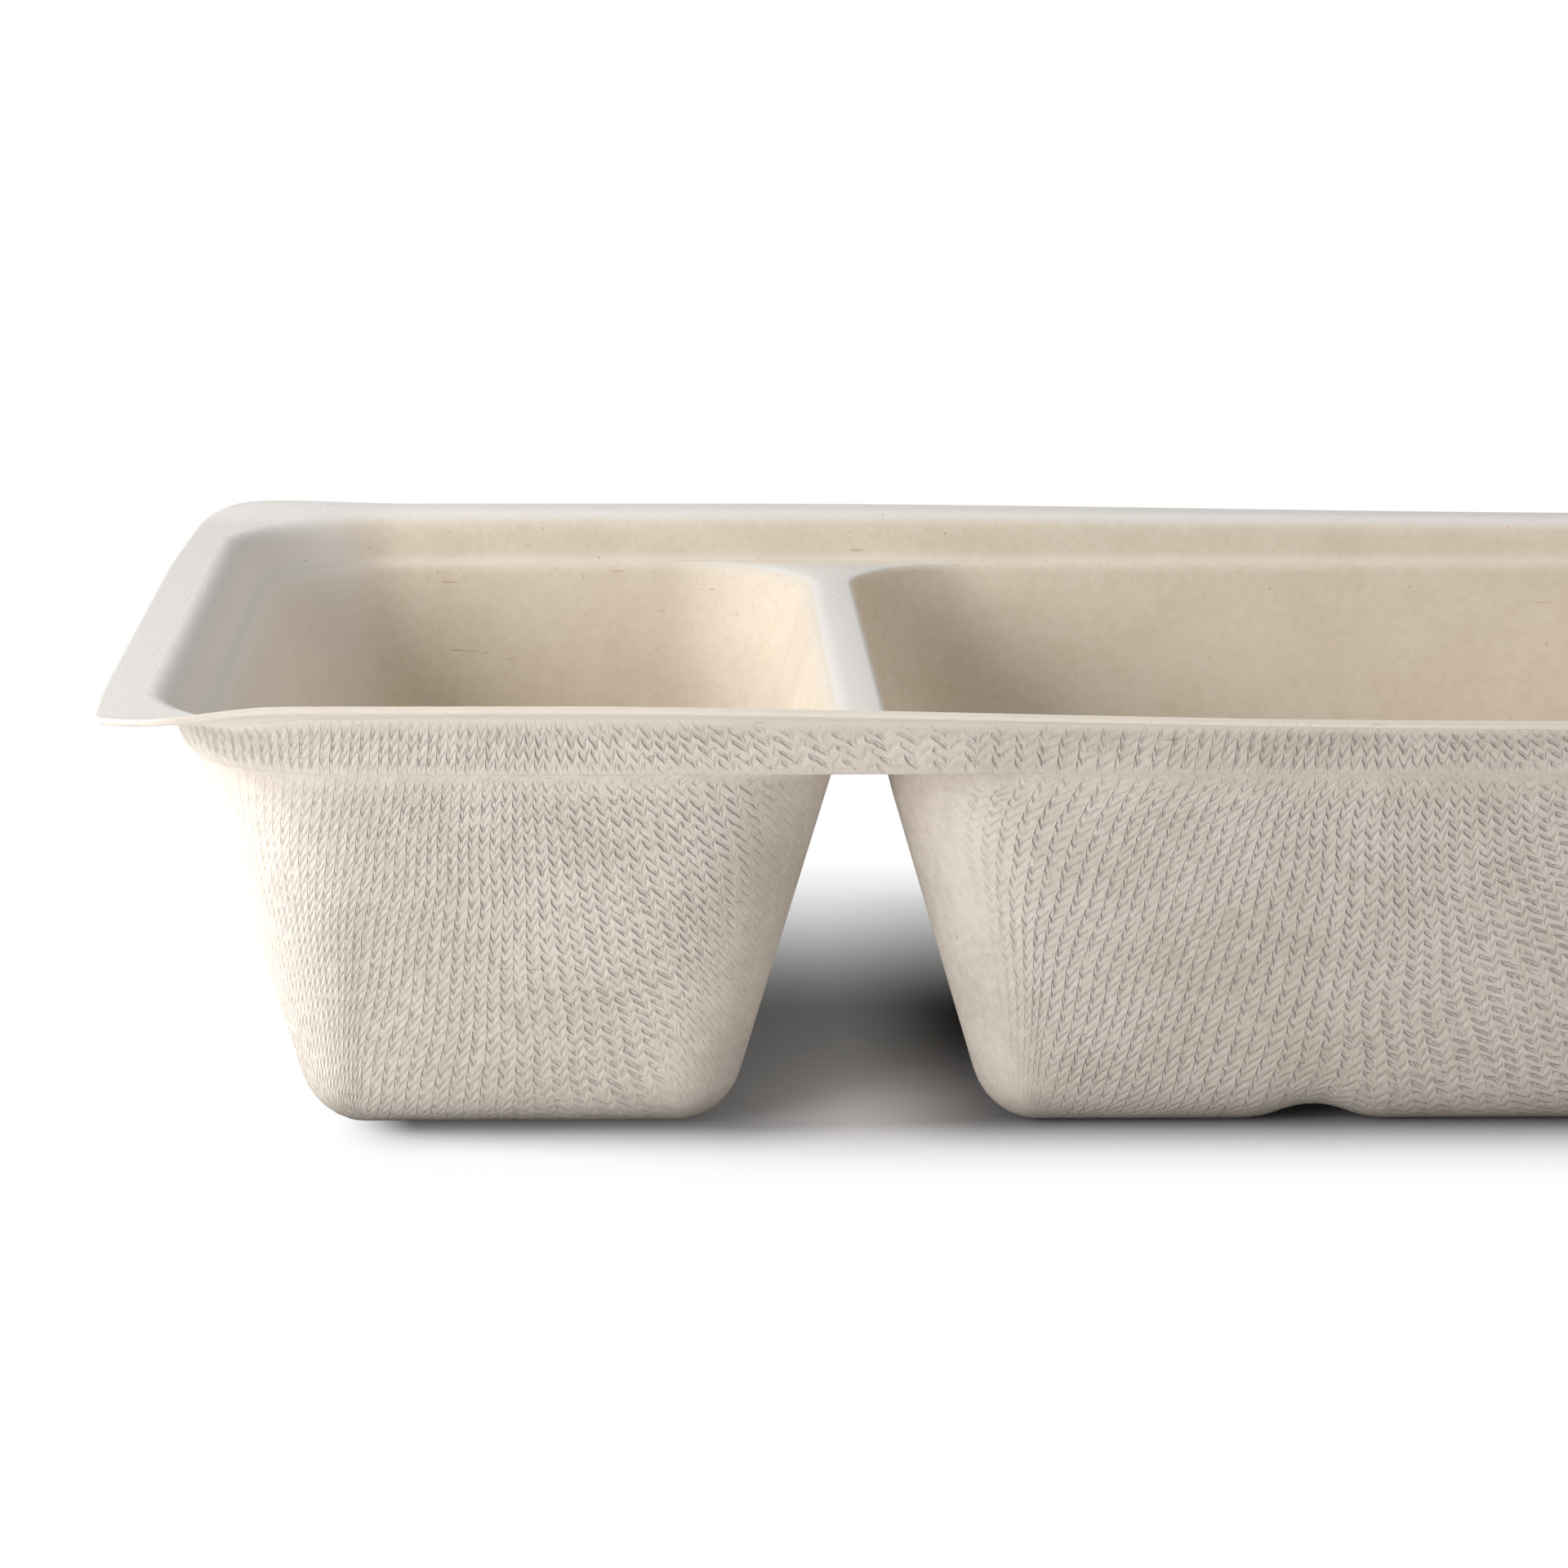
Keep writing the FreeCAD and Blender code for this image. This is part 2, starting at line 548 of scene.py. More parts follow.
@dataclass(frozen=True)
class Rib:
    """The soft bell-shaped rib across the base of the large compartment."""

    place: float
    width: float = 15.2
    height: float = 2.0
    end_height: float = 1.5
    end_zone: Zone = (46.0, 52.0)
    fades_at: float = 8.0

    def lift(self, x: float, y: float, level: float, floor: float) -> float:
        """Finds how far the rib lifts a point of the base or of the foot of a wall.

        Args:
            x: The place along the tray.
            y: The place across the tray.
            level: The height of the place.
            floor: The level of the floor.

        Returns:
            The lift, which is 0 beside the rib.
        """
        share = abs(x - self.place) / (self.width / 2)
        if share >= 1.0 or level >= self.fades_at:
            return 0.0
        bell = 1 - 2 * share ** 2 if share < 0.5 else 2 * (1 - share) ** 2
        height = smooth(*self.end_zone, abs(y), self.height, self.end_height)
        return height * bell * smooth(floor, self.fades_at, level, 1.0, 0.0)


@dataclass(frozen=True)
class Crest:
    """How one long edge of the rim stands above the end flanges of the dried tray.

    The crest is high towards the small compartment and falls towards the large one. A corner that
    hangs lower has a zone, counted from the end of the tray, and a lift of its own.
    """

    high: float
    low: float
    fall_zone: Zone
    corner_zone: Zone | None = None
    corner_lift: float = 0.0
    corner_bump: float = 0.0
    bump_zone: Zone = (10.0, 26.0)
    limit: float = 2.66

    def height(self, x: float, from_end: float) -> float:
        """Finds the height of the crest without its corners.

        Args:
            x: The place along the tray.
            from_end: How far the place is from the nearer end.

        Returns:
            The height above the end flanges.
        """
        raised = smooth(*self.fall_zone, x, self.high, self.low)
        if x < 0:
            raised += smooth(*self.bump_zone, from_end, self.corner_bump, 0.0)
        return min(raised, self.limit)

    def beside_corner(self, from_end: float) -> float:
        """Returns 0 at the corner and 1 where the crest has its full height."""
        return 1.0 if self.corner_zone is None else smooth(*self.corner_zone, from_end)


@dataclass(frozen=True)
class ScreenMarks:
    """How clearly the forming screen marks each part of the outside, from 0 to 1.

    A zone holds the two places in millimetres between which the strength changes. It is counted
    from the flange, from the ledge, from the divider, from the table or from the tray's middle.
    """

    flange: float = 0.12
    ledge: float = 0.2
    divider: float = 0.15
    foot: float = 0.35
    ends: float = 0.4
    floor: float = 0.3
    flange_zone: Zone = (-1.5, 0.0)
    step_zone: Zone = (0.2, 1.1)
    wall_zone: Zone = (0.7, 2.2)
    divider_zone: Zone = (3.5, 11.0)
    foot_zone: Zone = (0.8, 7.0)
    ends_zone: Zone = (72.0, 85.0)

    def on_rim(self, rim: Rim, place: Vector) -> float:
        """Returns the strength on the rim, which is weak on the flange and on the ledge."""
        return (smooth(*self.flange_zone, place.z - rim.level, 1.0, self.flange)
                * smooth(*self.step_zone, place.z - rim.ledge_level, self.ledge, 1.0))

    def on_cup(self, rim: Rim, cup: Cup, place: Vector) -> float:
        """Finds the strength on a compartment.

        It is weak under the ledge, at the tray's ends, beside the divider and round the base.

        Args:
            rim: The rim that the compartment hangs in.
            cup: The compartment.
            place: The place on its wall.

        Returns:
            The strength.
        """
        below = rim.ledge_level - place.z
        away = cup.from_divider(place.x, below * rim.lean)
        return (smooth(*self.ends_zone, abs(place.x), 1.0, self.ends)
                * smooth(*self.wall_zone, below, self.ledge, 1.0)
                * smooth(*self.divider_zone, away, self.divider, 1.0)
                * smooth(*self.foot_zone, place.z, self.foot, 1.0))


@dataclass(frozen=True)
class PaintedLightZones:
    """Painted light: how much lighter the faces that face up and the inner end walls are coloured.

    A height is in millimetres above the ledge, a slope is a share of the surface's normal and the
    end's place is counted from the tray's middle.
    """

    flange_slope: Zone = (0.55, 0.92)
    flange_height: Zone = (1.4, 3.0)
    land_slope: Zone = (0.8, 0.97)
    land_height: Zone = (-2.0, -0.6)
    ledge_slope: Zone = (0.5, 0.8)
    ledge_rise: Zone = (-4.0, -1.0)
    ledge_fall: Zone = (1.0, 2.0)
    ledge_share: float = 0.28
    end_slope: Zone = (0.15, 0.5)
    end_place: Zone = (62.0, 76.0)
    end_top: Zone = (-5.0, 0.0)
    end_shares: tuple[float, float] = (0.5, 0.9)
    end_foot: Zone = (-26.0, -8.0)

    def painted_top_light(self, upward: float, above: float) -> float:
        """Finds how much light is painted on a place because it faces up; on the ledge it is a
        painted highlight.

        Args:
            upward: The upward share of its normal.
            above: Its height above the ledge.

        Returns:
            The painted lightness from 0 to 1.
        """
        # painted top light on the flange and on the divider's land
        flange = smooth(*self.flange_slope, upward) * smooth(*self.flange_height, above)
        land = smooth(*self.land_slope, upward) * smooth(*self.land_height, above)
        # the ledge's share is a painted highlight on its slope
        ledge = (self.ledge_share * smooth(*self.ledge_slope, upward)
                 * smooth(*self.ledge_rise, above) * smooth(*self.ledge_fall, above, 1.0, 0.0))
        return max(flange, land, ledge)

    def painted_end_light(self, inward: float, from_middle: float, above: float) -> float:
        """Finds how much light is painted on a place because it lies on the inner wall of an end.

        Args:
            inward: The share of its normal that points to the tray's middle.
            from_middle: How far it lies from the middle along the tray.
            above: Its height above the ledge.

        Returns:
            The painted lightness from 0 to 1.
        """
        # painted light on the end walls, lighter towards the top and fading out at the foot
        return (smooth(*self.end_slope, inward) * smooth(*self.end_place, from_middle)
                * smooth(*self.end_top, above, *self.end_shares)
                * smooth(*self.end_foot, above))


@dataclass
class TrayShell:
    """The whole moulded tray as one sheet with an even wall.

    The cut edge is thinner than the wall and a little rounded. In drying, the long edges of the
    flange warp, as the crests say, and its ends are drawn in towards the corners.
    """

    name: str = "tray_shell"
    wall: float = 0.7
    cup_corner: float = 16.0
    divider_place: float = -23.5
    divider_land: float = 5.0
    small_divider_lip: float = 3.2
    large_lip_reach: float = 1.15
    rib_place: float = 23.5
    edge_thinning: float = 0.5
    edge_rounding: float = 0.1
    edge_segments: int = 2
    edge_angle: float = 55.0
    softening: int = 6
    soft_height: float = 1.2
    floor_step: int = 4
    warp_from: float = 0.3
    back_lift_zone: Zone = (65.0, 75.5)
    corner_lift_zone: Zone = (64.0, 77.0)
    front_draw: float = 0.7
    front_draw_zone: Zone = (45.0, 78.0)
    back_draw: float = 1.1
    back_draw_zone: Zone = (25.0, 78.0)
    rim: Rim = Rim()
    front_crest: Crest = Crest(high=2.75, low=0.9, fall_zone=(-66.0, 49.0),
                               corner_zone=(4.0, 19.5), corner_lift=1.25)
    back_crest: Crest = Crest(high=1.13, low=-0.09, fall_zone=(-36.0, 84.0), corner_bump=0.4)
    marks: ScreenMarks = ScreenMarks()
    painted_light_zones: PaintedLightZones = PaintedLightZones()
    steps: Steps = Steps()

    def cups(self) -> tuple[Cup, Cup]:
        """Places the compartments beside the divider.

        Returns:
            The small and the large compartment.
        """
        ledge = self.rim.ledge_outline(self.cup_corner)
        end = ledge.half_x - self.rim.ledge_width
        half_y = ledge.half_y - self.rim.ledge_width
        half_land = self.divider_land / 2
        return (Cup(-end, self.divider_place - half_land, half_y, self.cup_corner,
                    divider_lip_radius=self.small_divider_lip),
                Cup(self.divider_place + half_land, end, half_y, self.cup_corner,
                    lip_reach=self.large_lip_reach))

    def build(self) -> bpy.types.Object:
        """Builds the tray.

        Returns:
            The tray as a mesh object with its wall and its rounded cut edge.
        """
        sheet = Sheet(self.steps)
        ledge_ring = self.grow_rim(sheet)
        lips = [self.grow_cup(sheet, cup) for cup in self.cups()]
        self.fill_ledge(sheet, ledge_ring, lips)
        self.shape(sheet, Rib(self.rib_place))
        return self.finish_mesh(sheet)

    def dress(self, tray: bpy.types.Object, finishes: Sequence["PressedFibre"]) -> None:
        """Gives the tray its finishes, in the order of the sides."""
        for finish in finishes:
            tray.data.materials.append(finish.material())

    def grow_rim(self, sheet: Sheet) -> list[bmesh.types.BMVert]:
        """Grows the flange, the step wall and the root of the ledge.

        Args:
            sheet: The sheet to start.

        Returns:
            The ring on the ledge.
        """
        rim = self.rim
        edge = rim.edge_outline(self.wall)
        root = rim.root_outline(self.cup_corner)
        top = rim.step_top
        lean = math.atan((rim.step_end - top) / rim.step_depth)
        reach = rim.flange_radius * math.tan((math.pi / 2 - lean) / 2)
        start, lip = rim.ledge_line()
        slope = lip - start
        bend = math.pi / 2 - lean - math.atan(-slope.y / slope.x)
        past = start + slope.normalized() * (rim.root_radius * math.tan(bend / 2) + RUN_OUT)
        stations = rounded_section([
            (top - reach - RUN_OUT, rim.level, 0.0),
            (top, rim.level, rim.flange_radius),
            (start.x, start.y, rim.root_radius),
            (past.x, past.y, 0.0),
        ], pieces=(1, rim.step_pieces, 1), arc_steps=rim.arc_pieces)
        inner = root.shrunk(stations[0].inset)
        ring = sheet.first_ring(edge, rim.level)
        pressed = partial(self.marks.on_rim, rim)
        sheet.mark(ring, root, -rim.step_depth - rim.side_flange, pressed)
        for share in rim.flange_rings:
            ring = sheet.next_ring(ring, edge.blended(inner, share), rim.level)
            sheet.mark(ring, root, -rim.step_depth - rim.side_flange * (1 - share), pressed)
        for station in stations:
            ring = sheet.next_ring(ring, root.shrunk(station.inset), station.level)
            sheet.mark(ring, root, rim.ledge_level - station.level, pressed)
        return ring

    def grow_cup(self, sheet: Sheet, cup: Cup) -> list[bmesh.types.BMVert]:
        """Grows one compartment and closes its floor.

        Args:
            sheet: The sheet to add to.
            cup: The compartment.

        Returns:
            The ring on the ledge, where the sheet is still open.
        """
        outline = cup.outline(0.0, 0.0)
        stations = cup.section(self.rim, self.wall, at_divider=False)
        at_divider = cup.section(self.rim, self.wall, at_divider=True)
        ring: list[bmesh.types.BMVert] = []
        lip = ring
        down = 0.0
        for i, (station, other) in enumerate(zip(stations, at_divider)):
            reach = cup.lip_reach * smooth(*cup.lip_reach_zone,
                                           station.level - self.rim.ledge_level)
            place = cup.outline(station.inset, other.inset + reach)
            if i == 0:
                lip = ring = sheet.first_ring(place, station.level)
            else:
                before = stations[i - 1]
                down += math.hypot(station.inset - before.inset, station.level - before.level)
                ring = sheet.next_ring(ring, place, station.level)
            for vert in ring:
                vert.co.z += ((other.level - station.level)
                              * cup.beside_divider(vert.co.x, other.inset))
            sheet.mark(ring, outline, down, partial(self.marks.on_cup, self.rim, cup))
        self.fill_floor(sheet, ring)
        return lip

    def fill_floor(self, sheet: Sheet, ring: list[bmesh.types.BMVert]) -> None:
        """Closes the floor and cuts it into a grid that follows the points of its sides.

        Args:
            sheet: The sheet to add to.
            ring: The ring at the foot of the walls.
        """
        mesh = sheet.mesh
        known = set(mesh.verts)
        made = bmesh.ops.contextual_create(mesh, geom=ring_edges(mesh, ring))
        geom: list = [*made["faces"]]
        geom += [*{edge for face in made["faces"] for edge in face.edges}, *ring]
        cuts = [(ring[self.steps.front + i].co.copy(), Vector((1, 0, 0)))
                for i in range(self.steps.along + 1)]
        cuts += [(ring[self.steps.left + i].co.copy(), Vector((0, 1, 0)))
                 for i in range(0, self.steps.across + 1, self.floor_step)]
        for place, across in cuts:
            geom = bmesh.ops.bisect_plane(mesh, geom=geom, dist=TOUCHING, plane_co=place,
                                          plane_no=across)["geom"]
        for vert in set(mesh.verts) - known:
            vert[sheet.along], vert[sheet.down] = vert.co.x, vert.co.y
            vert[sheet.imprint] = self.marks.floor

    def fill_ledge(self, sheet: Sheet, ledge_ring: list[bmesh.types.BMVert],
                   lips: list[list[bmesh.types.BMVert]]) -> None:
        """Closes what is left of the ledge and the land of the divider.

        Args:
            sheet: The sheet to add to.
            ledge_ring: The ring where the rim ends.
            lips: The rings where the compartments start.
        """
        edges: list[bmesh.types.BMEdge] = []
        for ring in (ledge_ring, *lips):
            edges += ring_edges(sheet.mesh, ring)
        bmesh.ops.triangle_fill(sheet.mesh, use_beauty=True, use_dissolve=False, edges=edges)

    def shape(self, sheet: Sheet, rib: Rib) -> None:
        """Raises the rib, softens the divider's ends and gives the rim its turn-up and warp.

        Args:
            sheet: The closed sheet.
            rib: The rib.
        """
        rim = self.rim
        soft: list[bmesh.types.BMVert] = []
        for vert in sheet.mesh.verts:
            x, y, level = vert.co
            if level < rib.fades_at:
                vert.co.z += rib.lift(x, y, level, self.wall)
            if (abs(level - rim.ledge_level) < self.soft_height
                    and abs(x - self.divider_place) < self.divider_land / 2 + self.cup_corner):
                soft.append(vert)
            weight = smooth(rim.ledge_level + self.warp_from, rim.level, level)
            if weight > 0:
                vert.co.z += weight * self.rim_lift(x, y)
                vert.co.x -= math.copysign(self.drawn_in(x, y), x)
        for _ in range(self.softening):
            bmesh.ops.smooth_vert(sheet.mesh, verts=soft, factor=0.5, use_axis_z=True)

    def rim_lift(self, x: float, y: float) -> float:
        """Finds how far the flange stands above its level.

        Args:
            x: The place along the tray.
            y: The place across the tray.

        Returns:
            The lift.
        """
        rim = self.rim
        from_end = rim.length / 2 - abs(x)
        if y < 0:
            crest = self.front_crest
            share = rim.turned_up(y) / rim.turned_up(rim.depth / 2)
        else:
            crest = self.back_crest
            share = smooth(*self.back_lift_zone, y)
        beside = crest.beside_corner(from_end)
        return (share * beside * crest.height(x, from_end)
                + crest.corner_lift * (1 - beside) * smooth(*self.corner_lift_zone, abs(y)))

    def drawn_in(self, x: float, y: float) -> float:
        """Finds how far the end of the flange is drawn in towards its corners.

        Args:
            x: The place along the tray.
            y: The place across the tray.

        Returns:
            The length by which the place moves inwards.
        """
        draw, zone = ((self.front_draw, self.front_draw_zone) if y < 0
                      else (self.back_draw, self.back_draw_zone))
        outer = smooth(self.rim.length / 2 - self.rim.end_flange, self.rim.length / 2, abs(x))
        return draw * outer * smooth(*zone, abs(y))

    def finish_mesh(self, sheet: Sheet) -> bpy.types.Object:
        """Turns the sheet into an object with a wall.

        Args:
            sheet: The shaped sheet.

        Returns:
            The tray.
        """
        mesh = sheet.mesh
        self.face_hollow(mesh)
        self.mark_painted_light(sheet)
        self.lay_lengths(sheet)
        bmesh.ops.scale(mesh, vec=Vector((MM, MM, MM)), verts=mesh.verts)
        tray = placed(self.name, mesh_data(self.name, mesh))
        self.add_wall(tray)
        return tray

    def face_hollow(self, mesh: bmesh.types.BMesh) -> None:
        """Turns every face to the hollow side of the sheet.

        Args:
            mesh: The sheet's mesh.
        """
        bmesh.ops.recalc_face_normals(mesh, faces=mesh.faces)
        mesh.normal_update()
        floor = min(mesh.faces, key=lambda face: face.calc_center_median().z)
        if floor.normal.z < 0:
            bmesh.ops.reverse_faces(mesh, faces=mesh.faces)
        mesh.normal_update()

    def mark_painted_light(self, sheet: Sheet) -> None:
        """Keeps at each point how much light is painted on the tray there.

        Args:
            sheet: The shaped sheet.
        """
        for vert in sheet.mesh.verts:
            above = vert.co.z - self.rim.ledge_level
            inward = -vert.normal.x * math.copysign(1.0, vert.co.x)
            # painted light on faces that face up and on the inner end walls
            vert[sheet.upper] = self.painted_light_zones.painted_top_light(vert.normal.z, above)
            vert[sheet.end] = self.painted_light_zones.painted_end_light(inward, abs(vert.co.x), above)

    def lay_lengths(self, sheet: Sheet) -> None:
        """Lays the lengths along and down the wall on the faces as a map of their own.

        A face that joins the last point of a ring to its first one goes on past the last.

        Args:
            sheet: The shaped sheet.
        """
        mesh = sheet.mesh
        wall_map = mesh.loops.layers.uv.new("wall")
        lengths = [vert[sheet.along] for vert in mesh.verts]
        round_trip = max(lengths) - min(lengths)
        for face in mesh.faces:
            face.smooth = True
            last = max((loop.vert for loop in face.loops), key=lambda vert: vert[sheet.along])
            for loop in face.loops:
                along = loop.vert[sheet.along]
                if last[sheet.along] - along > round_trip / 2:
                    along = last[sheet.along] + abs(last.co.x - loop.vert.co.x)
                loop[wall_map].uv = (along, loop.vert[sheet.down])

    def add_wall(self, tray: bpy.types.Object) -> None:
        """Gives the sheet its wall, thinner at the cut edge, and rounds that edge.

        Args:
            tray: The tray as an open sheet.
        """
        thick = tray.vertex_groups.new(name="thick")
        thick.add(list(range(len(tray.data.vertices))), 1.0, "REPLACE")
        thick.add(list(range(self.steps.total)), self.edge_thinning, "REPLACE")
        wall = tray.modifiers.new("wall", "SOLIDIFY")
        wall.vertex_group = thick.name
        wall.thickness = self.wall * MM
        wall.offset = -1.0
        wall.use_even_offset = False
        wall.use_quality_normals = True
        wall.material_offset = Side.OUTSIDE.value
        wall.material_offset_rim = Side.CUT_EDGE.value
        edge = tray.modifiers.new("edge", "BEVEL")
        edge.width = self.edge_rounding * MM
        edge.segments = self.edge_segments
        edge.limit_method = "ANGLE"
        edge.angle_limit = math.radians(self.edge_angle)


Socket = bpy.types.NodeSocket
Value = float | Socket

# A Mix node keeps sockets for every kind of data; these are the ones for colours.
MIX_SHARE: int = 0
MIX_FIRST: int = 6
MIX_SECOND: int = 7
MIX_RESULT: int = 2


@dataclass(frozen=True)
class Clouds:
    """A soft irregular pattern: how fine it is, and how many and how strong its finer layers."""

    scale: float
    detail: float
    roughness: float = 0.5


@dataclass(frozen=True)
class Lay:
    """How a set of fibres lies: its turn in radians and how far it is drawn out."""

    turn: Place
    stretch: Place


class Graph:
    """A node tree under construction."""

    def __init__(self, owner: bpy.types.Material | bpy.types.World) -> None:
        """Empties the owner's node tree and keeps it."""
        owner.use_nodes = True
        self.tree = owner.node_tree
        self.tree.nodes.clear()
        kind = "ShaderNodeOutputWorld" if isinstance(owner, bpy.types.World) else (
            "ShaderNodeOutputMaterial")
        self.output = self.node(kind)

    def node(self, kind: str, **settings: str | bool | float) -> bpy.types.Node:
        """Adds a node.

        Args:
            kind: The kind of node.
            settings: Its properties and their values.

        Returns:
            The node.
        """
        made = self.tree.nodes.new(kind)
        for name, value in settings.items():
            setattr(made, name, value)
        return made

    def link(self, source: Socket, target: Socket) -> None:
        """Joins two sockets."""
        self.tree.links.new(source, target)

    def feed(self, target: Socket, value: Value | Sequence[float]) -> None:
        """Gives a target its value.

        Args:
            target: The socket to feed.
            value: A socket to link it to, or a plain value to write on it.
        """
        if isinstance(value, bpy.types.NodeSocket):
            self.link(value, target)
        else:
            target.default_value = value

    def finish(self, surface: Socket) -> None:
        """Joins a shader to the output."""
        self.link(surface, self.output.inputs["Surface"])

    def math(self, operation: str, first: Value, second: Value = 0.0,
             third: Value = 0.0) -> Socket:
        """Adds a sum.

        Args:
            operation: The kind of sum, by its name in the node.
            first: The first value.
            second: The second value, where the sum takes one.
            third: The third value, where the sum takes one.

        Returns:
            The result.
        """
        made = self.node("ShaderNodeMath", operation=operation)
        for target, value in zip(made.inputs, (first, second, third)):
            self.feed(target, value)
        return made.outputs[0]

    def span(self, value: Value, low: float, high: float, to_low: float = 0.0,
             to_high: float = 1.0) -> Socket:
        """Eases from one number to another as a value rises.

        Args:
            value: The value that rises.
            low: Where the change starts.
            high: Where the change ends.
            to_low: The number below low.
            to_high: The number above high.

        Returns:
            The number at the value.
        """
        made = self.node("ShaderNodeMapRange", interpolation_type="SMOOTHSTEP")
        for name, item in (("Value", value), ("From Min", low), ("From Max", high),
                           ("To Min", to_low), ("To Max", to_high)):
            self.feed(made.inputs[name], item)
        return made.outputs[0]

    def spread(self, vector: Socket, lay: Lay) -> Socket:
        """Turns and draws out a set of coordinates.

        Args:
            vector: The coordinates.
            lay: The turn and the stretch.

        Returns:
            The new coordinates.
        """
        made = self.node("ShaderNodeMapping")
        self.link(vector, made.inputs["Vector"])
        made.inputs["Scale"].default_value = lay.stretch
        made.inputs["Rotation"].default_value = lay.turn
        return made.outputs[0]

    def noise(self, vector: Socket, clouds: Clouds) -> Socket:
        """Adds a pattern of clouds.

        Args:
            vector: The coordinates that it lies on.
            clouds: The pattern.

        Returns:
            Its strength, round a half.
        """
        made = self.node("ShaderNodeTexNoise")
        self.link(vector, made.inputs["Vector"])
        made.inputs["Scale"].default_value = clouds.scale
        made.inputs["Detail"].default_value = clouds.detail
        made.inputs["Roughness"].default_value = clouds.roughness
        return made.outputs["Fac"]

    def mixed(self, share: Value, first: Socket | Colour, second: Socket | Colour) -> Socket:
        """Mixes two colours.

        Args:
            share: The share of the second colour.
            first: The first colour.
            second: The second colour.

        Returns:
            The mixed colour.
        """
        made = self.node("ShaderNodeMix", data_type="RGBA")
        self.feed(made.inputs[MIX_SHARE], share)
        for place, colour in ((MIX_FIRST, first), (MIX_SECOND, second)):
            self.feed(made.inputs[place], colour if isinstance(colour, bpy.types.NodeSocket)
                      else (*colour, 1.0))
        return made.outputs[MIX_RESULT]

    def mixed_shaders(self, share: Value, first: Socket, second: Socket) -> Socket:
        """Mixes two shaders.

        Args:
            share: The share of the second shader.
            first: The first shader.
            second: The second shader.

        Returns:
            The mixed shader.
        """
        made = self.node("ShaderNodeMixShader")
        for target, value in zip(made.inputs, (share, first, second)):
            self.feed(target, value)
        return made.outputs[0]

    def attribute(self, name: str) -> Socket:
        """Returns a number that the mesh carries at its points."""
        made = self.node("ShaderNodeAttribute", attribute_name=name)
        return made.outputs["Fac"]

    def seen_white(self) -> Socket:
        """Finds the rays that show the floor and the sky as they look.

        Returns:
            1 for camera, glossy and transmission rays, 0 for those that only bring light.
        """
        rays = self.node("ShaderNodeLightPath")
        total = self.math("ADD", rays.outputs["Is Camera Ray"], rays.outputs["Is Glossy Ray"])
        total = self.math("ADD", total, rays.outputs["Is Transmission Ray"])
        return self.math("MINIMUM", total, 1.0)


